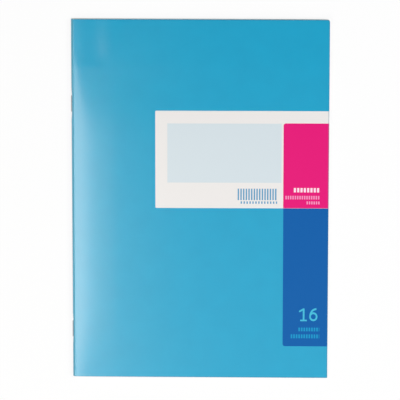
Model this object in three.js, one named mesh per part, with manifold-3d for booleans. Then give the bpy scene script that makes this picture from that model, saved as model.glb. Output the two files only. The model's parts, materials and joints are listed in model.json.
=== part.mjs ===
// Columnar ledger book, A4, forty leaves, saddle stitched through the fold with two wire staples.
//
// The book lies closed on its back cover. X runs across the page from the spine to the fore edge,
// Y runs up the page to the head, and Z is the thickness. The origin is under the middle of the book.
//
// One folded card makes the two covers and the spine. Twenty folded sheets lie inside it, each with a
// front leaf, a fold and a back leaf. The outermost sheet has the full height of the book. The others
// are cut short at the head, so that headings written along the top of the long leaves stay in sight.
//
// The back cover is flat on the table. The staples pinch the folds tight, the springy paper stands
// thickest a little way beside them, and the block thins again towards the fore edge, so the front
// cover climbs from the spine to a low crest and then falls gently.
//
// Every leaf turns about one line, the centre of the folds. All that sits in the fold, staples and all,
// stays inside a cylinder about that line, and the leaves begin just outside it, so they turn freely.

import * as THREE from 'three';
import { mergeVertices } from 'three/addons/utils/BufferGeometryUtils.js';
import Module from 'manifold-3d';

// Driving dimensions, in millimetres.
const pageWidth = 210;
const pageHeight = 297;
const sheetCount = 20;
const headStrip = 40;
const paperThickness = 0.1;
const cardThickness = 0.25;
const foldAir = 0.005;
const crestAir = 0.05;
const edgeAir = 0.02;
const centreGap = 0.1;
const centreClosing = 18;
const crestFromFold = 32;
const headCornerRadius = 2;
const footCornerRadius = 0.7;
const wireThickness = 0.45;
const wireChamfer = 0.12;
const wireBendRadius = 0.1;
const wireTipSlope = 0.15;
const crownClearance = 0.03;
const crownLength = 13.6;
const clinchLength = 4.8;
const legHoleClearance = 0.06;
const clinchClearance = 0.015;
const upperStapleFromHead = 69.5;
const lowerStapleFromHead = 257;
const foldClearance = 0.1;
const turningClearance = 0.15;

// Counts that set how finely the curved faces are made.
const foldArcSteps = 12;
const foldEndStep = 0.6;
const climbSteps = 9;
const fallSteps = 6;
const cornerSteps = 5;
const wireBendSteps = 4;
const holeSides = 12;

// How far a raw shape runs past the face that it is trimmed to or cuts through.
const trimMargin = 1;

// How near two corners of a mesh are when they count as one.
const mergeDistance = 1e-5;

// Sizes that follow from the driving dimensions.
const foldPitch = paperThickness + foldAir;
const crestPitch = paperThickness + crestAir;
const edgePitch = paperThickness + edgeAir;
const legHoleRadius = wireThickness / 2 + legHoleClearance;
const clinchRadius = legHoleRadius + clinchClearance;
const cardFoldRadius = clinchRadius + sheetCount * foldPitch;
const spineRadius = cardFoldRadius + cardThickness;
const axisHeight = spineRadius;
const crestThickness = 2 * cardThickness + 2 * sheetCount * crestPitch + centreGap + foldAir;
const crownStand = crownClearance + wireThickness;
const spineX = -(pageWidth - crownStand) / 2;
const foreEdgeX = spineX + pageWidth;
const axisX = spineX + spineRadius;
const headY = pageHeight / 2;
const footY = -pageHeight / 2;
const shortHeadY = headY - headStrip;
const crownReach = spineRadius + crownStand;
const foldZoneRadius = Math.hypot(crownReach, wireThickness / 2) + foldClearance;
const leafStartRadius = foldZoneRadius + turningClearance;

const colours = {
  card: 0x3fa3cc,
  longPaper: 0xf4f2ea,
  shortPaper: 0xefede4,
  wire: 0xa9adb2,
};

const cardMaterial = () => new THREE.MeshStandardMaterial({
  color: colours.card,
  roughness: 0.25,
  metalness: 0,
});

const paperMaterial = (color) => new THREE.MeshStandardMaterial({
  color,
  roughness: 0.85,
  metalness: 0,
});

const wireMaterial = () => new THREE.MeshStandardMaterial({
  color: colours.wire,
  roughness: 0.35,
  metalness: 1,
});

const wasm = await Module();
wasm.setup();

// A closed solid of the boolean library, from a three.js geometry.
function toSolid(geometry) {
  const bare = geometry.clone();
  bare.deleteAttribute('normal');
  bare.deleteAttribute('uv');
  const merged = mergeVertices(bare, mergeDistance);
  return new wasm.Manifold(new wasm.Mesh({
    numProp: 3,
    vertProperties: new Float32Array(merged.attributes.position.array),
    triVerts: new Uint32Array(merged.index.array),
  }));
}

// A three.js geometry, from a closed solid of the boolean library.
function toGeometry(solid) {
  const mesh = solid.getMesh();
  const geometry = new THREE.BufferGeometry();
  geometry.setAttribute('position', new THREE.BufferAttribute(mesh.vertProperties, 3));
  geometry.setIndex(new THREE.BufferAttribute(mesh.triVerts, 1));
  const flat = geometry.toNonIndexed();
  flat.computeVertexNormals();
  return flat;
}

// A section drawn in X and Z beside the fold line, run along Y from one height on the page to another.
function alongSpine(section, fromY, toY) {
  const geometry = new THREE.ExtrudeGeometry(section, { depth: toY - fromY, bevelEnabled: false });
  geometry.rotateX(Math.PI / 2);
  geometry.translate(axisX, toY, 0);
  return geometry;
}

// How far along X a level line at a height beside the fold line meets a circle about it.
const reachAt = (radius, height) => Math.sqrt(radius ** 2 - height ** 2);

// The upright block that the fore edge is trimmed to, with its two rounded corners.
function trimBlock(topY) {
  const left = spineX;
  const outline = new THREE.Shape();
  outline.moveTo(left, footY);
  outline.lineTo(foreEdgeX - footCornerRadius, footY);
  outline.absarc(foreEdgeX - footCornerRadius, footY + footCornerRadius, footCornerRadius, -Math.PI / 2, 0);
  outline.lineTo(foreEdgeX, topY - headCornerRadius);
  outline.absarc(foreEdgeX - headCornerRadius, topY - headCornerRadius, headCornerRadius, 0, Math.PI / 2);
  outline.lineTo(left, topY);
  outline.closePath();
  const geometry = new THREE.ExtrudeGeometry(outline, {
    depth: crestThickness + 2 * trimMargin,
    bevelEnabled: false,
    curveSegments: cornerSteps,
  });
  geometry.translate(0, 0, -trimMargin);
  return toSolid(geometry);
}

const longTrim = trimBlock(headY);
const shortTrim = trimBlock(shortHeadY);

const { lerp, smoothstep } = THREE.MathUtils;
const foreEdgeReach = foreEdgeX - axisX;

// The distance from one leaf to the next, beside the fold line.
function pitchAt(x) {
  const climb = smoothstep(x, leafStartRadius, crestFromFold);
  const fall = smoothstep(x, crestFromFold, foreEdgeReach);
  return lerp(lerp(foldPitch, crestPitch, climb), edgePitch, fall);
}

// The gap between the two leaves of the middle sheet, beside the fold line.
function centreGapAt(x) {
  const closed = smoothstep(x, leafStartRadius, leafStartRadius + centreClosing);
  return lerp(2 * clinchRadius - foldAir, centreGap, closed);
}

// The height of a leaf's lower face. Leaves are counted up from the back cover, and the front cover
// lies where the next leaf would.
function lowerFaceAt(x, leavesBelow) {
  const gap = leavesBelow >= sheetCount ? centreGapAt(x) : 0;
  return cardThickness + foldAir + leavesBelow * pitchAt(x) + gap;
}

// Where the leaves bend, beside the fold line. They share these places, so that they nest.
function bendPlaces() {
  const places = [];
  for (let step = 0; step < climbSteps; step += 1) {
    places.push(lerp(leafStartRadius, crestFromFold, step / climbSteps));
  }
  for (let step = 0; step <= fallSteps; step += 1) {
    places.push(lerp(crestFromFold, foreEdgeReach + trimMargin, step / fallSteps));
  }
  return places;
}

// A leaf or cover board: it starts at the cylinder about the fold line and runs to the fore edge.
// lowerFace gives the height of its lower face at a distance beside the fold line.
function board(lowerFace, thickness, topY, places) {
  const startOf = (height) => reachAt(leafStartRadius, height - axisHeight);
  const lowerStart = startOf(lowerFace(0));
  const upperStart = startOf(lowerFace(0) + thickness);
  const lower = [[lowerStart, lowerFace(0)], ...places.map((x) => [x, lowerFace(x)])];
  const upper = [[upperStart, lowerFace(0) + thickness], ...places.map((x) => [x, lowerFace(x) + thickness])];
  const outline = [...lower, ...upper.reverse()].map(([x, z]) => new THREE.Vector2(x, z));
  const plate = toSolid(alongSpine(new THREE.Shape(outline), footY - trimMargin, topY + trimMargin));
  return toGeometry(plate.intersect(topY === headY ? longTrim : shortTrim));
}

// Points along an arc about the fold line.
function arcPoints(radius, fromAngle, toAngle, steps) {
  const points = [];
  for (let step = 0; step <= steps; step += 1) {
    const angle = lerp(fromAngle, toAngle, step / steps);
    points.push(new THREE.Vector2(radius * Math.cos(angle), axisHeight + radius * Math.sin(angle)));
  }
  return points;
}

// The half ring of a fold, with a short straight run on each side that ends at the fold cylinder.
function foldSection(innerRadius, outerRadius) {
  const outerAngle = Math.asin(outerRadius / foldZoneRadius);
  const innerAngle = Math.asin(innerRadius / foldZoneRadius);
  const endSteps = Math.ceil((outerRadius - innerRadius) / foldEndStep);
  return new THREE.Shape([
    ...arcPoints(foldZoneRadius, innerAngle, outerAngle, endSteps),
    ...arcPoints(outerRadius, Math.PI / 2, 3 * Math.PI / 2, foldArcSteps),
    ...arcPoints(foldZoneRadius, -outerAngle, -innerAngle, endSteps),
    ...arcPoints(innerRadius, 3 * Math.PI / 2, Math.PI / 2, foldArcSteps),
  ]);
}

const stapleCentres = {
  upper_staple: headY - upperStapleFromHead,
  lower_staple: headY - lowerStapleFromHead,
};

// The four holes that the staple legs leave through the fold.
function legHoles() {
  const length = spineRadius + 2 * trimMargin;
  const holes = [];
  for (const centre of Object.values(stapleCentres)) {
    for (const end of [-1, 1]) {
      const hole = new THREE.CylinderGeometry(legHoleRadius, legHoleRadius, length, holeSides);
      hole.rotateZ(Math.PI / 2);
      hole.translate(axisX - length / 2, centre + end * (crownLength - wireThickness) / 2, axisHeight);
      holes.push(toSolid(hole));
    }
  }
  return holes;
}

const pierced = legHoles();

// A fold with the staple holes through it.
function fold(innerRadius, outerRadius, topY) {
  let solid = toSolid(alongSpine(foldSection(innerRadius, outerRadius), footY, topY));
  for (const hole of pierced) {
    solid = solid.subtract(hole);
  }
  return toGeometry(solid);
}

// A wire staple, closed: the crown lies along the outside of the spine, the legs run in through the
// fold, and their ends are bent towards each other along the inside of the middle sheet.
function staple(centre) {
  const half = crownLength / 2;
  const back = -crownReach;
  const clinchBack = -wireThickness / 2;
  const clinchFront = wireThickness / 2;
  const innerBend = wireBendRadius;
  const outerBend = wireBendRadius + wireThickness;
  const tip = half - clinchLength;
  const legInside = half - wireThickness;
  const wire = new THREE.Shape();
  wire.moveTo(back, -half + outerBend);
  wire.lineTo(back, half - outerBend);
  wire.quadraticCurveTo(back, half, back + outerBend, half);
  wire.lineTo(clinchFront - outerBend, half);
  wire.quadraticCurveTo(clinchFront, half, clinchFront, half - outerBend);
  wire.lineTo(clinchFront, tip);
  wire.lineTo(clinchBack, tip + wireTipSlope);
  wire.lineTo(clinchBack, legInside - innerBend);
  wire.quadraticCurveTo(clinchBack, legInside, clinchBack - innerBend, legInside);
  wire.lineTo(back + wireThickness + innerBend, legInside);
  wire.quadraticCurveTo(back + wireThickness, legInside, back + wireThickness, legInside - innerBend);
  wire.lineTo(back + wireThickness, -legInside + innerBend);
  wire.quadraticCurveTo(back + wireThickness, -legInside, back + wireThickness + innerBend, -legInside);
  wire.lineTo(clinchBack - innerBend, -legInside);
  wire.quadraticCurveTo(clinchBack, -legInside, clinchBack, -legInside + innerBend);
  wire.lineTo(clinchBack, -tip - wireTipSlope);
  wire.lineTo(clinchFront, -tip);
  wire.lineTo(clinchFront, -half + outerBend);
  wire.quadraticCurveTo(clinchFront, -half, clinchFront - outerBend, -half);
  wire.lineTo(back + outerBend, -half);
  wire.quadraticCurveTo(back, -half, back, -half + outerBend);
  const geometry = new THREE.ExtrudeGeometry(wire, {
    depth: wireThickness - 2 * wireChamfer,
    bevelEnabled: true,
    bevelThickness: wireChamfer,
    bevelSize: wireChamfer,
    bevelOffset: -wireChamfer,
    bevelSegments: 1,
    curveSegments: wireBendSteps,
  });
  geometry.translate(axisX, centre, axisHeight - wireThickness / 2 + wireChamfer);
  return geometry;
}

const book = new THREE.Group();

function addPiece(name, geometry, material) {
  const mesh = new THREE.Mesh(geometry, material);
  mesh.name = name;
  book.add(mesh);
}

// The cover card.
const frontCoverFace = (x) => lowerFaceAt(x, 2 * sheetCount);
const frontCover = board(frontCoverFace, cardThickness, headY, bendPlaces());
addPiece('front_cover', frontCover, cardMaterial());
addPiece('back_cover', board(() => 0, cardThickness, headY, [foreEdgeReach + trimMargin]), cardMaterial());
addPiece('cover_spine', fold(cardFoldRadius, spineRadius, headY), cardMaterial());

// The sheets, from the long outermost one to the short one in the middle of the book.
for (let sheet = 1; sheet <= sheetCount; sheet += 1) {
  const isLong = sheet === 1;
  const topY = isLong ? headY : shortHeadY;
  const label = `sheet_${String(sheet).padStart(2, '0')}`;
  for (const [leaf, leavesBelow] of [['front_leaf', 2 * sheetCount - sheet], ['back_leaf', sheet - 1]]) {
    const lowerFace = (x) => lowerFaceAt(x, leavesBelow);
    const shape = board(lowerFace, paperThickness, topY, bendPlaces());
    addPiece(`${label}_${leaf}`, shape, paperMaterial(isLong ? colours.longPaper : colours.shortPaper));
  }
}

// The folds of the sheets: the long sheet by itself, and the nested short ones as one packet.
const longFoldRadius = clinchRadius + (sheetCount - 1) * foldPitch;
const longFold = fold(longFoldRadius, longFoldRadius + paperThickness, headY);
addPiece('sheet_01_fold', longFold, paperMaterial(colours.longPaper));
const packetFold = fold(clinchRadius, longFoldRadius - foldAir, shortHeadY);
addPiece('short_sheet_folds', packetFold, paperMaterial(colours.shortPaper));

// The two staples.
for (const [name, centre] of Object.entries(stapleCentres)) {
  addPiece(name, staple(centre), wireMaterial());
}

export default book;
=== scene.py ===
"""Dress the columnar ledger book: its printed cover card, its ruled sheets and its staples.

The book lies closed on its back cover, with the spine at -X and the head at +Y. Every folded piece is
cut flat, as the real one is, and then folded round the line that the leaves turn about.
"""

from __future__ import annotations

import json
import logging
import math
from dataclasses import dataclass, field
from enum import Enum
from typing import Any, Callable, Sequence

import bpy
from mathutils import Matrix, Vector

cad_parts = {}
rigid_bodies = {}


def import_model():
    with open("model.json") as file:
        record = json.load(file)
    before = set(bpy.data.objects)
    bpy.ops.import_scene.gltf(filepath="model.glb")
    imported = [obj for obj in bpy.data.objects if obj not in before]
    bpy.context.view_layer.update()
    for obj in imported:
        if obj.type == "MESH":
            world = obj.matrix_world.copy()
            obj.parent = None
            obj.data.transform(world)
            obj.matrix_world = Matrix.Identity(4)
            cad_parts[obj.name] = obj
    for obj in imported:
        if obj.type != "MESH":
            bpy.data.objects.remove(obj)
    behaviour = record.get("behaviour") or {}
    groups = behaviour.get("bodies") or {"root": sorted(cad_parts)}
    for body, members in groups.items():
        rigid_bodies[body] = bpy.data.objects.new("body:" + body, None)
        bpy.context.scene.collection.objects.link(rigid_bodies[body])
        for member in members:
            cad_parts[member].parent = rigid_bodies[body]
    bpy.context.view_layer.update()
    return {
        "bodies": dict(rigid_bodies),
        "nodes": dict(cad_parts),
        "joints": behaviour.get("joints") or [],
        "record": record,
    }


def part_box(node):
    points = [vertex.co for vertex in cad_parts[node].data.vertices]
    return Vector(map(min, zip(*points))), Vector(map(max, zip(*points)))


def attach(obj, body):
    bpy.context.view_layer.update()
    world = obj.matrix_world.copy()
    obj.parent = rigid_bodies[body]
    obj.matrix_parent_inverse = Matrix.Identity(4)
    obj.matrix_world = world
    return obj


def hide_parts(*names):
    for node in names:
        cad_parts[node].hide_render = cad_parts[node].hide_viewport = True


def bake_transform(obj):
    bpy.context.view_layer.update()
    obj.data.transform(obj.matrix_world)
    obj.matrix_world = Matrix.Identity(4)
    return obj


LOG = logging.getLogger("ledger_book")
MM = 0.001
STAPLES = ("upper_staple", "lower_staple")
WHITE = (1.0, 1.0, 1.0, 1.0)

Colour = tuple[float, float, float, float]
Point = tuple[float, float, float]


def ink(red: int, green: int, blue: int) -> Colour:
    """Turn a colour picked on a screen, 0 to 255, into the linear colour that shaders use.

    Args:
        red: The red of the colour.
        green: The green of the colour.
        blue: The blue of the colour.

    Returns:
        The linear colour, with full opacity.
    """
    def linear(level: int) -> float:
        """Undo the screen's standard curve for one channel."""
        share = level / 255
        return share / 12.92 if share <= 0.04045 else ((share + 0.055) / 1.055) ** 2.4

    return (linear(red), linear(green), linear(blue), 1.0)


def shaded(colour: Colour, share: float) -> Colour:
    """Darken a colour to a share of its light."""
    red, green, blue, opacity = colour
    return (red * share, green * share, blue * share, opacity)


def smooth_step(value: float, low: float, high: float) -> float:
    """Climb smoothly from 0 at low to 1 at high.

    Args:
        value: Where to read the climb.
        low: Where it starts.
        high: Where it ends.

    Returns:
        The share climbed.
    """
    share = min(max((value - low) / (high - low), 0.0), 1.0)
    return share * share * (3 - 2 * share)


def blend_between(start: float, end: float, share: float) -> float:
    """Go from start to end by a share."""
    return start + (end - start) * share


def middle_height(name: str) -> float:
    """The height on the page of the middle of a solid."""
    low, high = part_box(name)
    return (low[1] + high[1]) / 2


class Side(Enum):
    """The half of the book that a leaf or board is in."""

    FRONT = 1
    BACK = -1


@dataclass(frozen=True)
class BookSizes:
    """The sizes that the pieces of the book share, in metres, with places taken from the frame."""

    fold_x: float
    fold_z: float
    fore_edge: float
    head: float
    foot: float
    short_head: float
    paper: float = 0.1 * MM
    card: float = 0.25 * MM
    fold_air: float = 0.005 * MM
    crest_air: float = 0.05 * MM
    edge_air: float = 0.02 * MM
    centre_gap: float = 0.1 * MM
    centre_closing: float = 18 * MM
    crest_from_fold: float = 32 * MM
    clinch_radius: float = 0.3 * MM
    leaf_start: float = 3.4 * MM
    sheet_count: int = 20
    turning_share: float = 0.62
    least_swell: float = 0.37
    full_swell: float = 0.88
    head_swell: tuple[float, float] = (30 * MM, 95 * MM)
    foot_swell: tuple[float, float] = (-23 * MM, 72 * MM)

    @classmethod
    def from_frame(cls, frame: dict[str, Any]) -> BookSizes:
        """Read the book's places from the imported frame.


        Returns:
            The sizes of this book.
        """
        joint = frame["record"]["behaviour"]["joints"][0]
        cover_low, cover_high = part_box("front_cover")
        _, short_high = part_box("sheet_20_front_leaf")
        return cls(
            fold_x=joint["pos_m"][0],
            fold_z=joint["pos_m"][2],
            fore_edge=cover_high[0],
            head=cover_high[1],
            foot=cover_low[1],
            short_head=short_high[1],
        )

    @property
    def reach(self) -> float:
        """How far the fore edge is from the fold line."""
        return self.fore_edge - self.fold_x

    @property
    def card_radius(self) -> float:
        """The radius of the middle of the card in the fold."""
        return self.fold_z - self.card / 2

    @property
    def fold_pitch(self) -> float:
        """The distance from one sheet to the next in the fold."""
        return self.paper + self.fold_air

    def outer_turn(self) -> tuple[Point, Point]:
        """Where the card and the long sheet start and end their turn round the spine."""
        half = (self.fold_z - self.card) * self.turning_share
        return (self.fold_x, 0.0, self.fold_z - half), (self.fold_x, 0.0, self.fold_z + half)

    def foot_ripeness(self, y: float) -> float:
        """How far the block has swollen above its foot, from nearly 0 at the foot to 1."""
        return smooth_step(y - self.foot, *self.foot_swell)

    def pitch_at(self, x: float, y: float) -> float:
        """The distance from one leaf to the next, beside the fold line.

        Args:
            x: The distance from the fold line.
            y: The height on the page.

        Returns:
            The distance from a leaf's lower face to that of the next.
        """
        ripeness = smooth_step(self.head - y, *self.head_swell) * self.foot_ripeness(y)
        swell = blend_between(self.least_swell, self.full_swell, ripeness)
        climb = smooth_step(x, self.leaf_start, self.crest_from_fold) * swell
        fall = smooth_step(x, self.crest_from_fold, self.reach)
        crest = blend_between(self.fold_pitch, self.paper + self.crest_air, climb)
        return blend_between(crest, self.paper + self.edge_air, fall)

    def lower_face(self, x: float, y: float, leaves_below: int) -> float:
        """The height of a leaf's lower face above the table, beside the fold line.

        Args:
            x: The distance from the fold line.
            y: The height on the page.
            leaves_below: How many leaves lie under it. The front cover has all forty.

        Returns:
            The height of the face.
        """
        closed = smooth_step(x, self.leaf_start, self.leaf_start + self.centre_closing)
        gap = blend_between(2 * self.clinch_radius - self.fold_air, self.centre_gap, closed)
        height = self.card + self.fold_air + leaves_below * self.pitch_at(x, y)
        return height + (gap if leaves_below >= self.sheet_count else 0.0)


def joined(operation: str, is_reversed: bool = False) -> Callable[[Number, Any], Number]:
    """Make a method that joins a Number to another value with one Math node.

    Args:
        operation: The node's operation.
        is_reversed: Whether the other value comes first.

    Returns:
        The method.
    """
    def method(number: Number, other: Any) -> Number:
        """Add the node."""
        pair = (other, number) if is_reversed else (number, other)
        return number.graph.math(operation, *pair)

    return method


class Number:
    """A shader socket that carries a number, and takes part in plain arithmetic."""

    __add__ = __radd__ = joined("ADD")
    __sub__ = joined("SUBTRACT")
    __rsub__ = joined("SUBTRACT", is_reversed=True)
    __mul__ = __rmul__ = joined("MULTIPLY")
    __truediv__ = joined("DIVIDE")
    at_least = joined("MAXIMUM")
    at_most = joined("MINIMUM")

    def __init__(self, graph: Graph, socket: Any) -> None:
        """Hold a socket of a graph."""
        self.graph = graph
        self.socket = socket

    def __abs__(self) -> Number:
        """Drop the sign."""
        return self.graph.math("ABSOLUTE", self)

    def clamped(self) -> Number:
        """Keep the number from 0 to 1."""
        return self.graph.math("ADD", self, 0.0, clamp=True)

    def wrapped(self, span: float) -> Number:
        """Start the number again at 0 after each span."""
        return self.graph.math("WRAP", self, span, 0.0)

    def root(self) -> Number:
        """Take the square root."""
        return self.graph.math("SQRT", self)


class Graph:
    """The node tree of a material or a world, with a few words for what the finishes need."""

    def __init__(self, owner: bpy.types.Material | bpy.types.World) -> None:
        """Take hold of a material's or a world's nodes."""
        owner.use_nodes = True
        self.tree = owner.node_tree

    @classmethod
    def of_material(cls, name: str) -> tuple[bpy.types.Material, Graph]:
        """Make a material with a Principled shader.

        Args:
            name: The material's name.

        Returns:
            The material and its graph.
        """
        material = bpy.data.materials.new(name)
        return material, cls(material)

    def node(self, kind: str, settings: dict[str, Any] | None = None, **inputs: Any) -> Any:
        """Add a node, set it up, and fill or link its sockets.

        Args:
            kind: The node's type.
            settings: Its settings, which are set first.
            inputs: Values or links by socket number, such as s0=0.5, or by name with _ for a space.

        Returns:
            The new node.
        """
        made = self.tree.nodes.new(kind)
        for key, value in (settings or {}).items():
            setattr(made, key, value)
        for key, value in inputs.items():
            place = int(key[1:]) if key[0] == "s" and key[1:].isdigit() else key.replace("_", " ")
            self.feed(made.inputs[place], value)
        return made

    def feed(self, socket: Any, value: Any) -> None:
        """Link a socket or a Number to an input, or set a plain value on it.

        Args:
            socket: The input.
            value: What it gets.
        """
        if isinstance(value, Number):
            value = value.socket
        if isinstance(value, bpy.types.NodeSocket):
            self.tree.links.new(value, socket)
        else:
            socket.default_value = value

    def math(self, operation: str, *values: Any, clamp: bool = False) -> Number:
        """Add a Math node.

        Args:
            operation: The node's operation.
            values: Its values or links, in order.
            clamp: Whether the result stays from 0 to 1.

        Returns:
            The result.
        """
        settings = {"operation": operation, "use_clamp": clamp}
        sockets = {f"s{place}": value for place, value in enumerate(values)}
        return Number(self, self.node("ShaderNodeMath", settings, **sockets).outputs[0])

    def set(self, **values: Any) -> None:
        """Set or link the Principled shader's own sockets."""
        for key, value in values.items():
            self.feed(self.tree.nodes["Principled BSDF"].inputs[key.replace("_", " ")], value)

    def flat_place(self) -> tuple[Number, Number, Any]:
        """Read the piece's own UV map, which holds its flat layout in millimetres.

        Returns:
            The distance from the spine, the height from the middle of the page, and the vector of both.
        """
        uv = self.node("ShaderNodeUVMap", {"uv_map": "flat_mm"}).outputs["UV"]
        parts = self.node("ShaderNodeSeparateXYZ", None, Vector=uv).outputs
        return Number(self, parts["X"]), Number(self, parts["Y"]), uv

    def scaled(self, vector: Any, scale: tuple[float, float, float]) -> Any:
        """Stretch a vector before it feeds a pattern."""
        return self.node("ShaderNodeMapping", None, Vector=vector, Scale=scale).outputs["Vector"]

    def noise(self, vector: Any, scale: float, detail: float) -> Number:
        """Add a cloudy pattern.

        Args:
            vector: Where to read it.
            scale: How many clouds fit in one unit of the vector.
            detail: How many finer layers it has.

        Returns:
            A number near one half.
        """
        made = self.node("ShaderNodeTexNoise", None, Vector=vector, Scale=scale, Detail=detail)
        return Number(self, made.outputs["Fac"])

    def mix(self, share: Any, under: Any, over: Any) -> Any:
        """Lay one colour over another by a share."""
        made = self.node("ShaderNodeMix", {"data_type": "RGBA"}, s0=share, s6=under, s7=over)
        return made.outputs[2]

    def bump(self, height: Number, depth: float, strength: float = 0.5) -> Any:
        """Turn a height into a bumped normal."""
        made = self.node("ShaderNodeBump", None, Height=height, Distance=depth, Strength=strength)
        return made.outputs["Normal"]

    def ray(self, kind: str) -> Number:
        """Read whether the ray that arrives is of a kind."""
        return Number(self, self.node("ShaderNodeLightPath").outputs[f"Is {kind} Ray"])

    def show(self, share: Number, under: Any, over: Any, output: str) -> None:
        """Lay one shader over another by a share, and send the result to an output node."""
        mixed = self.node("ShaderNodeMixShader", None, s0=share, s1=under, s2=over)
        self.feed(self.tree.nodes[output].inputs["Surface"], mixed.outputs[0])


def inked(distance: Number, blur: float = 0.12) -> Number:
    """Turn a distance outside a printed shape, in millimetres, into 1 inside it and 0 outside."""
    return (0.5 - distance / blur).clamped()


@dataclass(frozen=True)
class Block:
    """A printed rectangle, in millimetres from the spine and from the head."""

    left: float
    top: float
    right: float
    bottom: float
    corner: float = 0.1
    cut_off: float = math.inf

    def mask(self, across: Number, down: Number) -> Number:
        """Read where the rectangle is printed.

        Args:
            across: Millimetres from the spine.
            down: Millimetres from the head.

        Returns:
            1 inside the shape and 0 outside it.
        """
        half_wide = (self.right - self.left) / 2 - self.corner
        half_high = (self.bottom - self.top) / 2 - self.corner
        beside = (abs(across - (self.left + self.right) / 2) - half_wide).at_least(0.0)
        above = (abs(down - (self.top + self.bottom) / 2) - half_high).at_least(0.0)
        inside = inked((beside * beside + above * above).root() - self.corner)
        return inside if math.isinf(self.cut_off) else inside * inked(down - self.cut_off)


@dataclass(frozen=True)
class Ticks:
    """A row of equal upright bars."""

    row: Block
    pitch: float
    share: float

    def mask(self, across: Number, down: Number) -> Number:
        """Read where the bars are printed, as for a block."""
        beside = abs((across - self.row.left).wrapped(self.pitch) - self.pitch / 2)
        return self.row.mask(across, down) * inked(beside - self.pitch * self.share / 2)


@dataclass(frozen=True)
class Stroke:
    """A straight pen stroke with round ends."""

    start: tuple[float, float]
    end: tuple[float, float]
    width: float

    def mask(self, across: Number, down: Number) -> Number:
        """Read where the stroke is printed.

        Args:
            across: Millimetres from the spine.
            down: Millimetres from the head.

        Returns:
            1 inside the shape and 0 outside it.
        """
        run = self.end[0] - self.start[0]
        fall = self.end[1] - self.start[1]
        beside = across - self.start[0]
        below = down - self.start[1]
        share = ((beside * run + below * fall) / (run * run + fall * fall)).clamped()
        off_x = beside - share * run
        off_y = below - share * fall
        return inked((off_x * off_x + off_y * off_y).root() - self.width / 2)


@dataclass(frozen=True)
class Ring:
    """An oval pen stroke, or the upper left quarter of one."""

    centre: tuple[float, float]
    radii: tuple[float, float]
    width: float
    is_quarter: bool = False

    def mask(self, across: Number, down: Number) -> Number:
        """Read where the stroke is printed.

        Args:
            across: Millimetres from the spine.
            down: Millimetres from the head.

        Returns:
            1 inside the shape and 0 outside it.
        """
        beside = (across - self.centre[0]) / self.radii[0]
        below = (down - self.centre[1]) / self.radii[1]
        off = abs((beside * beside + below * below).root() - 1.0) * min(self.radii)
        inside = inked(off - self.width / 2)
        if self.is_quarter:
            inside = inside * inked(across - self.centre[0]) * inked(down - self.centre[1])
        return inside


Mark = Block | Ticks | Stroke | Ring

SIXTEEN = (
    Stroke((187.0, 240.9), (190.1, 239.1), 1.35),
    Block(189.5, 238.5, 190.95, 249.0),
    Block(187.4, 247.9, 192.9, 249.2),
    Ring((198.2, 245.4), (2.7, 2.96), 1.4),
    Ring((200.7, 245.1), (5.15, 6.1), 1.35, is_quarter=True),
)


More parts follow.
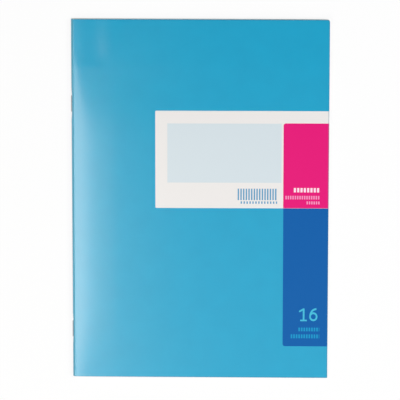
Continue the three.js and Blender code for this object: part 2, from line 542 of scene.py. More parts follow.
@dataclass(frozen=True)
class CoverFinish:
    """The glossy laminated print on the outside of the cover card, with painted light along the fold and
    painted shade along the cut edges.
    """

    pale_base: Colour = ink(0, 167, 208)
    dark_base: Colour = ink(0, 159, 200)
    # Painted light: a flat blue, a little paler than the cover's mean, laid along the fold to lift the
    # shade on the fold's curve.
    painted_fold_light: Colour = ink(0, 166, 204)
    # Painted shade: a darker blue along the head, fore and foot edges, where the card's edge turns away
    # from the lamps.
    painted_edge_shade: Colour = ink(0, 112, 146)
    worn_card: Colour = ink(205, 222, 232)
    page_width: float = 210.0
    painted_fold_light_end: float = 2.3
    painted_fold_light_blur: float = 0.6
    painted_fold_light_strength: float = 0.7
    painted_edge_shade_width: float = 0.8
    painted_edge_shade_blur: float = 0.5
    painted_edge_shade_strength: float = 0.35
    wear_contrast: float = 3.6
    wear_threshold: float = 0.8
    wear_strength: float = 0.3
    clean_roughness: float = 0.24
    smeared_roughness: float = 0.035
    worn_roughness: float = 0.3
    ripple_depth: float = 0.02 * MM
    heavy_ink_matting: float = 0.9
    deep_blue: Colour = ink(0, 93, 168)
    panel: Colour = ink(238, 235, 233)
    magenta: Colour = ink(229, 18, 120)
    layers: tuple[tuple[Colour, tuple[Mark, ...]], ...] = (
        (deep_blue, (Block(173.0, 140.0, 216.0, 270.35, 1.9),)),
        (panel, (Block(68.5, 74.6, 214.0, 154.9, 0.8),)),
        (ink(214, 226, 232), (Block(78.3, 85.0, 171.4, 133.8),)),
        (magenta, (Block(172.9, 84.7, 216.0, 165.0, 1.9, cut_off=154.8),)),
        (ink(96, 158, 198), (
            Ticks(Block(135.2, 138.7, 168.3, 148.2), 2.18, 0.56),
            Ticks(Block(137.5, 149.2, 168.0, 151.2), 2.4, 0.5),
        )),
        (ink(250, 222, 235), (Ticks(Block(181.1, 138.0, 202.7, 141.6), 2.7, 0.66),)),
        (ink(243, 150, 195), (
            Ticks(Block(174.3, 144.5, 202.7, 147.4), 1.9, 0.58),
            Ticks(Block(191.6, 149.1, 202.7, 151.5), 1.9, 0.58),
        )),
        (ink(18, 150, 200), (
            Ticks(Block(185.6, 254.6, 203.2, 257.7), 2.1, 0.62),
            Ticks(Block(179.3, 260.3, 203.2, 263.6), 2.1, 0.62),
        )),
        (ink(68, 186, 216), SIXTEEN),
    )

    def make(self, head_mm: float) -> bpy.types.Material:
        """Make the printed and laminated finish.

        Args:
            head_mm: The height of the head above the middle of the page, in millimetres.

        Returns:
            The material.
        """
        material, graph = Graph.of_material("laminated_cover_print")
        across, height, vector = graph.flat_place()
        down = head_mm - height
        mottle = graph.noise(vector, scale=0.06, detail=4.0)
        colour = graph.mix(mottle, self.dark_base, self.pale_base)
        # Painted light along the fold: the band within a few millimetres of the spine gets the paler blue.
        painted_fold_light_mask = inked(abs(across) - self.painted_fold_light_end, self.painted_fold_light_blur) * self.painted_fold_light_strength
        colour = graph.mix(painted_fold_light_mask, colour, self.painted_fold_light)
        heavy: Number | float = 0.0
        for tone, marks in self.layers:
            for mark in marks:
                mask = mark.mask(across, down)
                colour = graph.mix(mask, colour, tone)
                if tone in (self.deep_blue, self.magenta):
                    heavy = mask.at_least(heavy)
                elif tone == self.panel:
                    heavy = (1.0 - mask) * heavy

        edge = (self.page_width - abs(across)).at_most(head_mm - abs(height))
        # Painted shade within the last millimetre of the head, fore and foot edges.
        trim = inked(edge - self.painted_edge_shade_width, self.painted_edge_shade_blur) * self.painted_edge_shade_strength
        colour = graph.mix(trim, colour, self.painted_edge_shade)
        rubbed = (graph.noise(vector, scale=0.9, detail=6.0) - edge) * self.wear_contrast
        wear = (rubbed - self.wear_threshold).clamped() * self.wear_strength
        colour = graph.mix(wear, colour, self.worn_card)

        smear = graph.noise(vector, scale=0.02, detail=2.0) * self.smeared_roughness
        ripple = graph.noise(vector, scale=0.11, detail=1.0)
        graph.set(
            Base_Color=colour,
            Roughness=self.clean_roughness + smear + wear * self.worn_roughness,
            Normal=graph.bump(ripple, self.ripple_depth),
            IOR=1.3,
            Coat_Weight=1.0 - heavy * self.heavy_ink_matting,
            Coat_Roughness=0.22,
            Coat_IOR=1.65,
        )
        return material


@dataclass(frozen=True)
class CardFinish:
    """The bare card inside the cover, and the cut edges of the card and the sheets."""

    name: str
    tone: Colour
    darkest: float = 0.93
    fibre_share: float = 0.6
    least_roughness: float = 0.62
    fibre_roughness: float = 0.2
    fibre_depth: float = 0.02 * MM

    def make(self) -> bpy.types.Material:
        """Make the uncoated card.

        Returns:
            The material.
        """
        material, graph = Graph.of_material(self.name)
        _, _, vector = graph.flat_place()
        fibre = graph.noise(vector, scale=2.2, detail=5.0)
        cloud = graph.noise(vector, scale=0.12, detail=3.0)
        paleness = fibre * self.fibre_share + cloud * (1.0 - self.fibre_share)
        graph.set(
            Base_Color=graph.mix(paleness, shaded(self.tone, self.darkest), self.tone),
            Roughness=self.least_roughness + fibre * self.fibre_roughness,
            Normal=graph.bump(fibre, self.fibre_depth),
        )
        return material


@dataclass(frozen=True)
class ColumnRuling:
    """The printed rules of one page, in millimetres from the fold."""

    money_left: float
    money_pitch: float
    money_count: int
    entry_rules: tuple[float, ...]
    entry_left: float = 6.0
    outer: float = 204.0
    money_margin: float = 0.6
    money_blur: float = 0.2
    pair_half: float = 0.35
    strong_half: float = 0.16
    fine_half: float = 0.07
    fine_blur: float = 0.1
    fine_share: float = 0.68

    def vertical(self, across: Number) -> tuple[Number, Number]:
        """Read the upright rules.

        Args:
            across: Millimetres from the fold.

        Returns:
            Where the strong column rules are, and where the fine ones are.
        """
        pitch = self.money_pitch
        left = self.money_left
        right = left + pitch * self.money_count + self.money_margin
        inside = inked(left - self.money_margin - across, self.money_blur)
        inside = inside * inked(across - right, self.money_blur)
        beside = abs((across - left + pitch / 2).wrapped(pitch) - pitch / 2)
        strong = inked(abs(beside - self.pair_half) - self.strong_half) * inside
        off_fine = abs((across - left).wrapped(pitch) - pitch * self.fine_share)
        fine = inked(off_fine - self.fine_half, self.fine_blur) * inside
        for place in self.entry_rules:
            strong = strong.at_least(inked(abs(across - place) - self.strong_half))
        return strong, fine


@dataclass(frozen=True)
class PaperFinish:
    """Ruled ledger paper: feint lines, column rules and a double line under the headings."""

    name: str
    ruling: ColumnRuling
    head_mm: float
    strip_mm: float
    foot_mm: float
    paper: Colour = ink(241, 239, 231)
    feint: Colour = ink(150, 185, 210)
    column_red: Colour = ink(205, 105, 120)
    darkest: float = 0.96
    head_margin: float = 8.0
    foot_margin: float = 9.0
    heading_depth: float = 14.0
    heading_spread: float = 0.5
    heading_half: float = 0.12
    line_pitch: float = 8.0
    line_half: float = 0.08
    line_start: float = 0.2
    feint_strength: float = 0.8
    fine_strength: float = 0.7
    column_strength: float = 0.75
    least_roughness: float = 0.78
    fibre_roughness: float = 0.12
    fibre_depth: float = 0.015 * MM

    def make(self) -> bpy.types.Material:
        """Make the paper with the ruling of one page.

        Returns:
            The material.
        """
        material, graph = Graph.of_material(self.name)
        along, height, vector = graph.flat_place()
        across = abs(along)
        down = self.head_mm - height
        heading_line = self.strip_mm + self.heading_depth
        page_end = self.head_mm - self.foot_mm - self.foot_margin

        in_page = inked(self.ruling.entry_left - across) * inked(across - self.ruling.outer)
        above_end = inked(down - page_end)
        in_lines = inked(heading_line - self.line_start - down) * above_end
        step = (down - heading_line + self.line_pitch / 2).wrapped(self.line_pitch)
        feint = inked(abs(step - self.line_pitch / 2) - self.line_half) * in_page * in_lines
        off_heading = abs(abs(down - heading_line) - self.heading_spread)
        heading = inked(off_heading - self.heading_half) * in_page
        strong, fine = self.ruling.vertical(across)
        strong = strong * inked(self.head_margin - down) * above_end
        fine = fine * in_lines

        fibre = graph.noise(vector, scale=3.0, detail=5.0)
        cloud = graph.noise(vector, scale=0.05, detail=3.0)
        colour = graph.mix((fibre + cloud) * 0.5, shaded(self.paper, self.darkest), self.paper)
        colour = graph.mix(feint * self.feint_strength, colour, self.feint)
        colour = graph.mix(fine * self.fine_strength, colour, self.feint)
        colour = graph.mix(strong * self.column_strength, colour, self.column_red)
        colour = graph.mix(heading * self.feint_strength, colour, self.column_red)
        graph.set(
            Base_Color=colour,
            Roughness=self.least_roughness + fibre * self.fibre_roughness,
            Normal=graph.bump(fibre, self.fibre_depth),
        )
        return material


@dataclass(frozen=True)
class WireFinish:
    """Drawn and galvanised stitching wire, whose patterns are drawn out along it."""

    zinc: Colour = ink(176, 180, 186)
    dull: Colour = ink(128, 133, 140)
    spangle_scale: tuple[float, float, float] = (900.0, 260.0, 900.0)
    drawn_scale: tuple[float, float, float] = (7000.0, 400.0, 7000.0)
    least_roughness: float = 0.24
    spangle_roughness: float = 0.2
    drawn_depth: float = 0.004 * MM
    drawn_strength: float = 0.4

    def make(self) -> bpy.types.Material:
        """Make the wire.

        Returns:
            The material.
        """
        material, graph = Graph.of_material("stitching_wire")
        place = graph.node("ShaderNodeTexCoord").outputs["Object"]
        spangle = graph.noise(graph.scaled(place, self.spangle_scale), scale=1.0, detail=4.0)
        drawn = graph.noise(graph.scaled(place, self.drawn_scale), scale=1.0, detail=2.0)
        graph.set(
            Base_Color=graph.mix(spangle, self.dull, self.zinc),
            Metallic=1.0,
            Roughness=self.least_roughness + spangle * self.spangle_roughness,
            Normal=graph.bump(drawn, self.drawn_depth, self.drawn_strength),
        )
        return material


class Bench:
    """The few moves of mesh work that the pieces share."""

    @staticmethod
    def clear() -> None:
        """Deselect everything."""
        for thing in bpy.context.view_layer.objects:
            thing.select_set(False)
        bpy.context.view_layer.objects.active = None

    @staticmethod
    def pick(piece: bpy.types.Object) -> None:
        """Select one piece alone and make it active.

        Args:
            piece: The piece.
        """
        Bench.clear()
        piece.select_set(True)
        bpy.context.view_layer.objects.active = piece

    @staticmethod
    def grid(name: str, columns: Sequence[float], rows: Sequence[float]) -> bpy.types.Object:
        """Add a flat grid whose lines stand at the given places.

        Args:
            name: The piece's name.
            columns: Where the upright lines stand, in metres.
            rows: Where the level lines stand, in metres.

        Returns:
            The flat piece.
        """
        Bench.clear()
        bpy.ops.mesh.primitive_grid_add(
            x_subdivisions=len(columns) - 1,
            y_subdivisions=len(rows) - 1,
            size=2,
            calc_uvs=False,
            location=(0, 0, 0),
        )
        piece = bpy.context.object
        piece.name = piece.data.name = name
        for vertex in piece.data.vertices:
            column = round((vertex.co.x + 1) / 2 * (len(columns) - 1))
            row = round((vertex.co.y + 1) / 2 * (len(rows) - 1))
            vertex.co = (columns[column], rows[row], 0.0)
        return piece

    @staticmethod
    def round_corner(piece: bpy.types.Object, places: Sequence[tuple[float, float]], radius: float) -> None:
        """Round the flat piece's corners at the given places.

        Args:
            piece: The flat piece.
            places: The corners.
            radius: The corner's radius.
        """
        nearness = 0.01 * MM
        Bench.pick(piece)
        bpy.ops.object.mode_set(mode="EDIT")
        bpy.ops.mesh.select_all(action="DESELECT")
        bpy.ops.object.mode_set(mode="OBJECT")
        for vertex in piece.data.vertices:
            vertex.select = any(math.dist(vertex.co.xy, place) < nearness for place in places)
        bpy.ops.object.mode_set(mode="EDIT")
        bpy.ops.mesh.bevel(affect="VERTICES", offset=radius, segments=6, profile=0.5)
        bpy.ops.object.mode_set(mode="OBJECT")

    @staticmethod
    def lay_out(piece: bpy.types.Object, across: Callable[[float], float]) -> None:
        """Write the flat layout, in millimetres, to the piece's own UV map.

        Args:
            piece: The piece, still flat.
            across: Turns a flat place across the sheet into the first coordinate.
        """
        layer = piece.data.uv_layers.new(name="flat_mm")
        for loop in piece.data.loops:
            spot = piece.data.vertices[loop.vertex_index].co
            layer.data[loop.index].uv = (across(spot.x) / MM, spot.y / MM)

    @staticmethod
    def apply(piece: bpy.types.Object, kind: str, **settings: Any) -> None:
        """Add a modifier, set it up and apply it.

        Args:
            piece: The piece it works on.
            kind: The modifier's type.
            settings: The modifier's settings.
        """
        Bench.pick(piece)
        modifier = piece.modifiers.new(kind.title(), kind)
        for key, value in settings.items():
            setattr(modifier, key, value)
        bpy.ops.object.modifier_apply(modifier=modifier.name)

    @staticmethod
    def smooth(piece: bpy.types.Object, angle: float = 35.0) -> None:
        """Shade the piece smooth, with crisp edges past an angle.

        Args:
            piece: The piece.
            angle: The angle, in degrees.
        """
        Bench.pick(piece)
        bpy.ops.object.shade_smooth_by_angle(angle=math.radians(angle))
        Bench.clear()


@dataclass
class FoldShape:
    """How a flat sheet is bent round the fold line and laid in the block.

    The section of the fold is a rounded V with two short level shoulders. It is measured in shares of the
    sheet's radius in the fold, so that the nested sheets keep their distance all the way round. A sheet
    with less than no leaves below its back half lies on the table.
    """

    sizes: BookSizes
    radius: float
    thickness: float
    leaves_below_front: int
    leaves_below_back: int
    shoulder: float = 0.3
    nose: Sequence[tuple[float, float]] = ((-1.0, 0.0),)
    is_springy: bool = False
    tight_bend: float = 1.5 * MM
    wide_bend: float = 8.5 * MM
    widening_run: float = 70 * MM
    foot_bend_share: float = 0.5
    steepest: float = 0.18
    steep_share: float = 0.8
    strip_fade: float = 12 * MM

    def fold_stops(self) -> list[Point]:
        """The points of the fold's front half, from the middle of the spine to the fold line.

        Returns:
            For each, the distance along the sheet from its middle, and its x and z from the fold line.
        """
        shares = (*self.nose, (-self.shoulder, 1.0), (0.0, 1.0))
        section = [(x * self.radius, z * self.radius) for x, z in shares]
        along = 0.0
        stops = [(along, *section[0])]
        for before, after in zip(section, section[1:]):
            along += math.dist(before, after)
            stops.append((along, *after))
        return stops

    @property
    def fold_run(self) -> float:
        """How much of the flat sheet one half of the fold takes up."""
        return self.fold_stops()[-1][0]

    def level(self, x: float, y: float, side: Side) -> float:
        """The height of the sheet's middle above the table, beside the fold line.

        Args:
            x: The distance from the fold line.
            y: The height on the page.
            side: The half of the book.

        Returns:
            The height.
        """
        leaves = self.leaves_below_front if side is Side.FRONT else self.leaves_below_back
        lower_face = self.sizes.lower_face(x, y, leaves) if leaves >= 0 else 0.0
        return lower_face + self.thickness / 2

    def bend_at(self, y: float) -> float:
        """How wide the springy card's bend is, which opens out below the head of the short leaves.

        Args:
            y: The height on the page.

        Returns:
            The distance in which the bend spends most of its turn.
        """
        sizes = self.sizes
        from_strip = min(max((sizes.short_head - y) / self.widening_run, 0.0), 1.0)
        from_foot = blend_between(self.foot_bend_share, 1.0, sizes.foot_ripeness(y))
        return blend_between(self.tight_bend, self.wide_bend, min(from_strip, from_foot))

    def sprung(self, x: float, y: float) -> float:
        """The height of a springy card's middle, which climbs steeply from the fold to the crest.

        Args:
            x: The distance from the fold line.
            y: The height on the page.

        Returns:
            The height above the table.
        """
        sizes = self.sizes
        crest = sizes.crest_from_fold
        plain = self.level(x, y, Side.FRONT)
        if x > crest:
            return plain
        start = self.level(0.0, y, Side.FRONT)
        rise = self.level(crest, y, Side.FRONT) - start
        bend = self.bend_at(y)
        steep = min(self.steepest * bend, self.steep_share * rise)
        climbed = (1 - math.exp(-x / bend)) / (1 - math.exp(-crest / bend))
        height = start + steep * climbed + (rise - steep) * x / crest
        held = 1 - smooth_step(y - sizes.short_head, 0.0, self.strip_fade)
        return max(plain, blend_between(plain, height, held))

    def place(self, flat: float, y: float) -> tuple[float, float]:
        """Fold a point of the flat sheet.

        Args:
            flat: The distance from the sheet's middle, which is negative in the back half.
            y: The height on the page.

        Returns:
            The point's x and z in the frame.
        """
        side = Side.FRONT if flat >= 0 else Side.BACK
        distance = abs(flat)
        stops = self.fold_stops()
        beside = distance - stops[-1][0]
        if beside >= 0:
            is_sprung = self.is_springy and side is Side.FRONT
            height = self.sprung(beside, y) if is_sprung else self.level(beside, y, side)
            return self.sizes.fold_x + beside, height
        for (start, x0, z0), (end, x1, z1) in zip(stops, stops[1:]):
            if distance <= end:
                share = (distance - start) / (end - start)
                break
        x = blend_between(x0, x1, share)
        z = blend_between(z0, z1, share)
        return self.sizes.fold_x + x, self.sizes.fold_z + side.value * z


@dataclass
class Relief:
    """The small ways in which the closed book isn't a plain stack.

    The staples pull the spine in, and the card and the long leaf dip where the short leaves end.
    """

    sizes: BookSizes
    staple_places: Sequence[float]
    pinch_depth: float = 0.35 * MM
    pinch_half: float = 6.5 * MM
    pinch_fade: float = 7 * MM
    dip_depth: float = 0.85 * MM
    dip_crest: float = 45 * MM
    dip_far_share: float = 0.4
    dip_softness: float = 0.006

    def pinch(self, y: float) -> float:
        """How far the staples pull the spine in at a height on the page."""
        outside = min(abs(y - place) for place in self.staple_places) - self.pinch_half
        return self.pinch_depth * (1 - smooth_step(outside, 0.0, self.pinch_fade))

    def dip(self, x: float, y: float) -> float:
        """How far the card and the long leaf dip, past the head of the short leaves.

        Args:
            x: The distance from the fold line.
            y: The height on the page.

        Returns:
            The depth of the dip.
        """
        strip = self.sizes.head - self.sizes.short_head
        share = min(max((y - self.sizes.short_head) / strip, 0.0), 1.0)
        bend = math.sqrt(share * share + self.dip_softness) - math.sqrt(self.dip_softness)
        rise = smooth_step(x, 0.0, self.dip_crest)
        fade = 1 - (1 - self.dip_far_share) * smooth_step(x, self.dip_crest, self.sizes.reach)
        return self.dip_depth * bend * rise * fade


OUTER_FOLD = (0.28, ((-1.0, 0.0), (-0.985, 0.11), (-0.42, 0.92), (-0.36, 0.975)))


@dataclass
class FoldedPiece:
    """What the card and the sheets share: each is cut flat, trimmed, laid out, folded and thickened."""

    sizes: BookSizes
    relief: Relief
    head_corner: float = 2.0 * MM
    foot_corner: float = 0.7 * MM
    staple_rows: tuple[float, ...] = (6.5 * MM, 10 * MM, 13.5 * MM)
    strip_row: float = 2 * MM
    least_row: float = 0.8 * MM

    def rows(self, head: float, spacing: float) -> list[float]:
        """Choose the level lines: evenly spaced, with more by the staples and the short leaves' head.

        Args:
            head: The top of the piece.
            spacing: The distance between the plain lines.

        Returns:
            The lines, from the foot to the head.
        """
        sizes = self.sizes
        lines = {sizes.foot, head}
        count = math.ceil((head - sizes.foot) / spacing)
        for step in range(1, count):
            lines.add(round(blend_between(sizes.foot, head, step / count), 6))
        for place in self.relief.staple_places:
            for offset in self.staple_rows:
                lines.add(round(place - offset, 6))
                lines.add(round(place + offset, 6))
        if head > sizes.short_head:
            lines.add(round(sizes.short_head, 6))
            lines.add(round(sizes.short_head + self.strip_row, 6))
        first, *rest = sorted(lines)
        kept = [first]
        for line in rest:
            if line - kept[-1] > self.least_row:
                kept.append(line)
        kept[-1] = head
        return kept

    def half_columns(self, shape: FoldShape, places: Sequence[float]) -> list[float]:
        """Choose the upright lines of one half of the flat piece, from its middle to its fore edge.

        Args:
            shape: How the piece is folded.
            places: Where lines stand beside the fold line.

        Returns:
            The lines' distances from the middle of the flat piece.
        """
        in_fold = [stop[0] for stop in shape.fold_stops()]
        return in_fold + [shape.fold_run + place for place in (*places, self.sizes.reach)]

    def trim(self, piece: bpy.types.Object, fore_edges: Sequence[float], head: float) -> None:
        """Round the flat piece's fore-edge corners, at the head and more slightly at the foot."""
        for height, radius in ((head, self.head_corner), (self.sizes.foot, self.foot_corner)):
            Bench.round_corner(piece, [(edge, height) for edge in fore_edges], radius)

    def fold_up(self, piece: bpy.types.Object, shape: FoldShape, dips: bool) -> None:
        """Fold a flat piece.

        Args:
            piece: The flat piece.
            shape: How it is folded.
            dips: Whether its front half dips past the head of the short leaves.
        """
        for vertex in piece.data.vertices:
            flat, y = vertex.co.x, vertex.co.y
            x, z = shape.place(flat, y)
            beside = x - self.sizes.fold_x
            if beside < 0:
                x += self.relief.pinch(y) * min(1.0, -beside / self.sizes.card_radius)
            elif dips and flat > 0:
                z -= self.relief.dip(beside, y)
            vertex.co = (x, y, z)

    def thicken(self, piece: bpy.types.Object, thickness: float, finishes: Sequence[Any]) -> None:
        """Give the folded piece its thickness and its materials.

        Args:
            piece: The folded piece.
            thickness: The thickness of the card or paper.
            finishes: The materials of its front face, its back face and its cut edge.
        """
        for material in finishes:
            piece.data.materials.append(material)
        Bench.apply(
            piece,
            "SOLIDIFY",
            thickness=thickness,
            offset=0.0,
            use_even_offset=True,
            material_offset=1,
            material_offset_rim=2,
        )
        Bench.smooth(piece)


@dataclass
class CoverCard(FoldedPiece):
    """The laminated card that makes the front cover, the spine and the back cover."""

    nodes: tuple[str, ...] = ("front_cover", "cover_spine", "back_cover")
    row_spacing: float = 6 * MM
    near_columns: tuple[float, ...] = (
        1.2, 2.4, 3.4, 5, 7, 9, 11, 13, 15, 17, 19, 21, 23, 26, 29, 32, 36, 41, 47, 54,
    )
    far_start: float = 62 * MM
    far_margin: float = 6 * MM
    far_gaps: int = 13

    def columns(self, shape: FoldShape) -> list[float]:
        """Choose the upright lines of the whole flat card, closer together where it bends.

        Args:
            shape: How the card is folded.

        Returns:
            The lines, from the back cover's fore edge to the front cover's.
        """
        places = [place * MM for place in self.near_columns]
        far_end = self.sizes.reach - self.far_margin
        for step in range(self.far_gaps + 1):
            places.append(blend_between(self.far_start, far_end, step / self.far_gaps))
        half = self.half_columns(shape, places)
        return [-place for place in reversed(half[1:])] + half

    def build(self) -> bpy.types.Object:
        """Cut the card flat, round its corners and fold it.

        Returns:
            The finished card.
        """
        sizes = self.sizes
        leaves = 2 * sizes.sheet_count
        shape = FoldShape(sizes, sizes.card_radius, sizes.card, leaves, -1, *OUTER_FOLD, is_springy=True)
        columns = self.columns(shape)
        piece = Bench.grid("cover_card", columns, self.rows(sizes.head, self.row_spacing))
        self.trim(piece, (columns[0], columns[-1]), sizes.head)
        run = shape.fold_run
        spare = run - sizes.fold_z
        Bench.lay_out(piece, lambda flat: flat - math.copysign(spare, flat) * min(1, abs(flat) / run))
        self.fold_up(piece, shape, dips=True)
        print_side = CoverFinish().make(sizes.head / MM)
        inside = CardFinish("bare_inside_card", ink(240, 240, 236)).make()
        cut_edge = CardFinish("cut_card_edge", ink(170, 200, 214)).make()
        self.thicken(piece, sizes.card, (print_side, inside, cut_edge))
        return piece

    def fit(self, piece: bpy.types.Object) -> None:
        """Put the card in place of its solids.

        Args:
            piece: The finished card.
        """
        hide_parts(*self.nodes)
        self.sizes.outer_turn()
        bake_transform(piece)


@dataclass
class LedgerSheets(FoldedPiece):
    """The twenty folded sheets of ruled paper, each in two halves that meet in the middle of its fold."""

    left_page: ColumnRuling = ColumnRuling(100.0, 19.0, 5, entry_rules=(24.0, 195.0))
    right_page: ColumnRuling = ColumnRuling(6.0, 17.9, 11, entry_rules=())
    long_row_spacing: float = 10 * MM
    short_row_spacing: float = 26 * MM
    bend_places: tuple[float, ...] = (3.4, 8, 13, 18, 23, 28, 32, 40, 52, 75, 105, 140, 175, 200)
    turn_half: float = 0.25 * MM
    turn_lean: float = 0.026

    def papers(self, label: str, strip_mm: float) -> list[bpy.types.Material]:
        """Make the finishes of one kind of sheet.

        Args:
            label: The start of the materials' names.
            strip_mm: How far below the head of the book the sheet starts.

        Returns:
            The front page of a leaf, the back page of a leaf, and the cut edge.
        """
        head = self.sizes.head / MM
        foot = self.sizes.foot / MM
        recto = PaperFinish(f"{label}_right_page", self.right_page, head, strip_mm, foot).make()
        verso = PaperFinish(f"{label}_left_page", self.left_page, head, strip_mm, foot).make()
        edge = CardFinish(f"{label}_cut_edge", ink(240, 238, 230)).make()
        return [recto, verso, edge]

    def fold_shape(self, number: int) -> FoldShape:
        """Give the shape of one sheet's fold.

        Args:
            number: The sheet, counted from the long outermost one.

        Returns:
            The shape.
        """
        sizes = self.sizes
        radius = sizes.clinch_radius + (sizes.sheet_count - number) * sizes.fold_pitch + sizes.paper / 2
        leaves_below = (2 * sizes.sheet_count - number, number - 1)
        fold = OUTER_FOLD if number == 1 else ()
        return FoldShape(sizes, radius, sizes.paper, *leaves_below, *fold)

    def build(self, number: int, side: Side, papers: Sequence[bpy.types.Material]) -> bpy.types.Object:
        """Cut one half of a sheet flat, up to the middle of its fold, and bend it.

        Args:
            number: The sheet, counted from the long outermost one.
            side: Which half of the sheet it is.
            papers: Its right page, its left page and its cut edge.

        Returns:
            The finished half.
        """
        sizes = self.sizes
        is_long = number == 1
        head = sizes.head if is_long else sizes.short_head
        spacing = self.long_row_spacing if is_long else self.short_row_spacing
        shape = self.fold_shape(number)
        half = self.half_columns(shape, [place * MM for place in self.bend_places])
        columns = sorted(side.value * place for place in half)
        name = f"sheet_{number:02d}_{side.name.lower()}_half"
        piece = Bench.grid(name, columns, self.rows(head, spacing))
        self.trim(piece, (side.value * half[-1],), head)
        spare = side.value * shape.fold_run
        Bench.lay_out(piece, lambda flat: flat - spare * min(1, abs(flat) / half[1]))
        self.fold_up(piece, shape, dips=is_long)
        right_page, left_page, edge = papers
        faces = (right_page, left_page) if side is Side.FRONT else (left_page, right_page)
        self.thicken(piece, sizes.paper, (*faces, edge))
        return piece

    def fit(self, piece: bpy.types.Object, number: int, side: Side) -> None:
        """Put half a sheet in place of its solids.

        Args:
            piece: The half sheet.
            number: The sheet, counted from the long outermost one.
            side: Which half of the sheet it is.
        """
        sizes = self.sizes
        nodes = [f"sheet_{number:02d}_{side.name.lower()}_leaf"]
        if side is Side.FRONT and number == 1:
            nodes.append("sheet_01_fold")
        if side is Side.FRONT and number == 2:
            nodes.append("short_sheet_folds")
        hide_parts(*nodes)
        bodies = ("back_block", f"leaf_{number:02d}")
        if side is Side.BACK:
            bodies = tuple(reversed(bodies))
        if number == 1:
            start, end = sizes.outer_turn()
            if side is Side.BACK:
                start, end = end, start
        else:
            middle = Vector((sizes.fold_x - self.fold_shape(number).radius, 0.0, sizes.fold_z))
            step = Vector((self.turn_lean, 0.0, side.value)).normalized() * self.turn_half
            start, end = tuple(middle - step), tuple(middle + step)
        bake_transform(piece)


@dataclass
class Staple:
    """A wire staple: its crown outside the spine, its legs through the fold, its ends clinched inside."""

    name: str
    sizes: BookSizes
    relief: Relief
    wire_radius: float = 0.225 * MM
    bend_radius: float = 0.42 * MM
    clinch_length: float = 4.8 * MM
    crown_sinking: float = 0.8
    end_bevel: float = 0.06 * MM
    end_angle: float = 60.0
    smooth_angle: float = 50.0
    round_steps: int = 16
    bend_steps: int = 6
    least_turn: float = 1e-6

    def path(self) -> list[Vector]:
        """Lay out the middle of the wire.

        Returns:
            Its points, from one clinched end to the other.
        """
        low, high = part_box(self.name)
        middle = middle_height(self.name)
        half = (high[1] - low[1]) / 2
        leg = half - self.wire_radius
        tip = half - self.clinch_length
        inner = self.sizes.fold_x
        crown = low[0] + self.wire_radius + self.relief.pinch(middle) * self.crown_sinking
        turns = ((inner, -tip), (inner, -leg), (crown, -leg), (crown, leg), (inner, leg), (inner, tip))
        corners = [Vector((x, middle + along, self.sizes.fold_z)) for x, along in turns]
        points = [corners[0]]
        for before, corner, after in zip(corners, corners[1:], corners[2:]):
            back = (before - corner).normalized() * self.bend_radius
            ahead = (after - corner).normalized() * self.bend_radius
            hub = corner + back + ahead
            for step in range(self.bend_steps + 1):
                turn = math.pi / 2 * step / self.bend_steps
                points.append(hub - ahead * math.cos(turn) - back * math.sin(turn))
        return points + [corners[-1]]

    def build(self) -> bpy.types.Object:
        """Extrude a round section along the wire's path, turning it square to each stretch.

        Returns:
            The finished staple.
        """
        path = self.path()
        Bench.clear()
        heading = (path[1] - path[0]).normalized()
        bpy.ops.mesh.primitive_circle_add(
            vertices=self.round_steps,
            radius=self.wire_radius,
            fill_type="NGON",
            location=path[0],
            rotation=Vector((0, 0, 1)).rotation_difference(heading).to_euler(),
        )
        piece = bpy.context.object
        piece.name = piece.data.name = f"{self.name}_wire"
        bpy.ops.object.transform_apply(location=True, rotation=True, scale=True)
        bpy.ops.object.mode_set(mode="EDIT")
        bpy.ops.mesh.select_all(action="SELECT")
        steps = [here - before for before, here in zip(path, path[1:])]
        for here, step, following in zip(path[1:], steps, [*steps[1:], steps[-1]]):
            next_heading = (step.normalized() + following.normalized()).normalized()
            bpy.ops.mesh.extrude_region_move(TRANSFORM_OT_translate={"value": step})
            axis, angle = heading.rotation_difference(next_heading).to_axis_angle()
            if abs(angle) > self.least_turn:
                self.turn_section(piece, here, axis, angle)
            heading = next_heading
        bpy.ops.mesh.select_all(action="SELECT")
        bpy.ops.mesh.normals_make_consistent(inside=False)
        bpy.ops.object.mode_set(mode="OBJECT")
        piece.data.materials.append(WireFinish().make())
        Bench.apply(
            piece,
            "BEVEL",
            width=self.end_bevel,
            segments=2,
            limit_method="ANGLE",
            angle_limit=math.radians(self.end_angle),
        )
        Bench.smooth(piece, self.smooth_angle)
        return piece

    @staticmethod
    def turn_section(piece: bpy.types.Object, centre: Vector, axis: Vector, angle: float) -> None:
        """Turn the selected end section about its middle.

        Args:
            piece: The wire, in edit mode.
            centre: The middle of the section.
            axis: The line it turns about.
            angle: How far it turns, in radians.
        """
        bpy.ops.object.mode_set(mode="OBJECT")
        turning = Matrix.Translation(centre) @ Matrix.Rotation(angle, 4, axis) @ Matrix.Translation(-centre)
        for vertex in piece.data.vertices:
            if vertex.select:
                vertex.co = turning @ vertex.co
        bpy.ops.object.mode_set(mode="EDIT")

    def fit(self, piece: bpy.types.Object) -> None:
        """Put the wire in place of its solid, on the spine.

        Args:
            piece: The finished staple.
        """
        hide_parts(self.name)
        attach(piece, "spine")


@dataclass(frozen=True)
class SoftBox:
    """A rectangular soft lamp, with its places and size in metres and its power in watts."""

    name: str
    place: Point
    aim: Point
    size: tuple[float, float]
    power: float
    tint: Point = (1.0, 1.0, 1.0)

    def hang(self) -> None:
        """Hang the lamp and turn it to the point it faces."""
        data = bpy.data.lights.new(self.name, "AREA")
        data.shape = "RECTANGLE"
        data.size, data.size_y = self.size
        data.energy = self.power
        data.color = self.tint
        lamp = bpy.data.objects.new(self.name, data)
        bpy.context.scene.collection.objects.link(lamp)
        towards = Vector(self.aim) - Vector(self.place)
        turned = towards.to_track_quat("-Z", "Y").to_matrix().to_4x4()
        lamp.matrix_world = Matrix.Translation(Vector(self.place)) @ turned


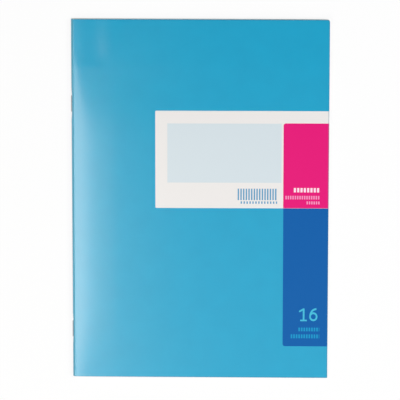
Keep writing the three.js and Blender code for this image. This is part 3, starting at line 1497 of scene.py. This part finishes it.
@dataclass
class Studio:
    """The pale floor, the soft lamps and the camera.

    The lamps are a box on the spine's side, a large dim card above the book and a fill on its fore side.
    """

    target: Vector = field(default_factory=lambda: Vector((0.18, 0.27, 6.0)) * MM)
    distance: float = 2504.4 * MM
    azimuth: float = 1.387
    tilt: float = 10.183
    roll: float = 0.039
    focal_pixels: float = 3064.5
    image_pixels: float = 400.0
    sensor: float = 36.0
    nearest: float = 0.1
    farthest: float = 20.0
    surround_level: float = 0.06
    bounce_level: float = 0.22
    backdrop_gloss: float = 0.3
    backdrop_fade: tuple[float, float] = (0.05, 0.3)
    floor_glow: float = 0.88
    floor_size: float = 8.0
    floor_drop: float = 0.05 * MM
    floor_tone: Colour = (0.9, 0.9, 0.9, 1.0)
    boxes: tuple[SoftBox, ...] = (
        SoftBox(
            "spine_side_box",
            place=(-0.455, -0.86, 1.2),
            aim=(-0.455, -0.86, 0.0),
            size=(0.474, 1.68),
            power=11.7,
            tint=(1.0, 0.96, 0.85),
        ),
        SoftBox(
            "overhead_card",
            place=(-0.1, -1.1, 1.6),
            aim=(-0.1, -1.1, 0.0),
            size=(1.6, 1.7),
            power=2.9,
        ),
        SoftBox(
            "fore_side_fill",
            place=(1.3, 0.1, 1.5),
            aim=(0.0, 0.0, 0.0),
            size=(0.9, 0.9),
            power=21.5,
            tint=(1.0, 1.025, 1.1),
        ),
    )

    def camera(self) -> None:
        """Stand the camera above the book, a little towards its head."""
        azimuth = math.radians(self.azimuth)
        tilt = math.radians(self.tilt)
        roll = math.radians(self.roll)
        offset = Vector((
            math.sin(azimuth) * math.cos(tilt),
            math.sin(tilt),
            math.cos(azimuth) * math.cos(tilt),
        ))
        right = Vector((0, 1, 0)).cross(offset).normalized()
        up = offset.cross(right)
        rolled_right = right * math.cos(roll) + up * math.sin(roll)
        rolled_up = up * math.cos(roll) - right * math.sin(roll)
        data = bpy.data.cameras.new("photo_camera")
        data.sensor_width = self.sensor
        data.lens = self.focal_pixels / self.image_pixels * self.sensor
        data.clip_start = self.nearest
        data.clip_end = self.farthest
        camera = bpy.data.objects.new("photo_camera", data)
        bpy.context.scene.collection.objects.link(camera)
        turned = Matrix((rolled_right, rolled_up, offset)).transposed().to_4x4()
        camera.matrix_world = Matrix.Translation(self.target + offset * self.distance) @ turned
        bpy.context.scene.camera = camera

    def world(self) -> None:
        """Give a dim soft surround, with a white backdrop that the camera and level reflections see."""
        world = bpy.data.worlds.new("studio")
        bpy.context.scene.world = world
        graph = Graph(world)
        upward = graph.node("ShaderNodeTexCoord").outputs["Generated"]
        climb = Number(graph, graph.node("ShaderNodeSeparateXYZ", None, Vector=upward).outputs["Z"])
        low, high = self.backdrop_fade
        backdrop = ((high - climb) / (high - low)).clamped() * self.backdrop_gloss
        reflected = (graph.ray("Glossy") + graph.ray("Transmission")) * backdrop
        level = graph.ray("Diffuse") * self.bounce_level + self.surround_level
        dim = graph.node("ShaderNodeBackground", None, Color=WHITE, Strength=level).outputs[0]
        white = graph.node("ShaderNodeBackground", None, Color=WHITE, Strength=1.0).outputs[0]
        graph.show((reflected + graph.ray("Camera")).clamped(), dim, white, "World Output")

    def floor(self) -> None:
        """Lay the pale floor that the book rests on."""
        Bench.clear()
        bpy.ops.mesh.primitive_plane_add(size=self.floor_size, location=(0, 0, -self.floor_drop))
        floor = bpy.context.object
        floor.name = "studio_floor"
        material, graph = Graph.of_material("pale_floor")
        graph.set(Base_Color=self.floor_tone, Roughness=0.9)
        seen = graph.ray("Camera") + graph.ray("Glossy") + graph.ray("Transmission")
        matt = graph.tree.nodes["Principled BSDF"].outputs[0]
        glow = graph.node("ShaderNodeEmission", None, Color=WHITE, Strength=1.0).outputs[0]
        graph.show(seen.clamped() * self.floor_glow, matt, glow, "Material Output")
        material.cycles.emission_sampling = "NONE"
        floor.data.materials.append(material)
        Bench.clear()

    def build(self) -> None:
        """Set up the whole studio."""
        self.camera()
        for box in self.boxes:
            box.hang()
        self.world()
        self.floor()
        bpy.context.scene.view_settings.view_transform = "Standard"


def main() -> None:
    """Build the studio and dress every piece of the book."""
    logging.basicConfig(level=logging.INFO)
    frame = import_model()
    sizes = BookSizes.from_frame(frame)
    Studio().build()
    relief = Relief(sizes, [middle_height(name) for name in STAPLES])

    cover = CoverCard(sizes, relief)
    card = cover.build()
    cover.fit(card)
    LOG.info("made %s", card.name)

    sheets = LedgerSheets(sizes, relief)
    strip = (sizes.head - sizes.short_head) / MM
    long_papers = sheets.papers("long_sheet", 0.0)
    short_papers = sheets.papers("short_sheet", strip)
    for number in range(1, sizes.sheet_count + 1):
        papers = long_papers if number == 1 else short_papers
        for side in Side:
            half = sheets.build(number, side, papers)
            sheets.fit(half, number, side)
            LOG.info("made %s", half.name)

    for name in STAPLES:
        staple = Staple(name, sizes, relief)
        wire = staple.build()
        staple.fit(wire)
        LOG.info("made %s", wire.name)


if __name__ == "__main__":
    main()
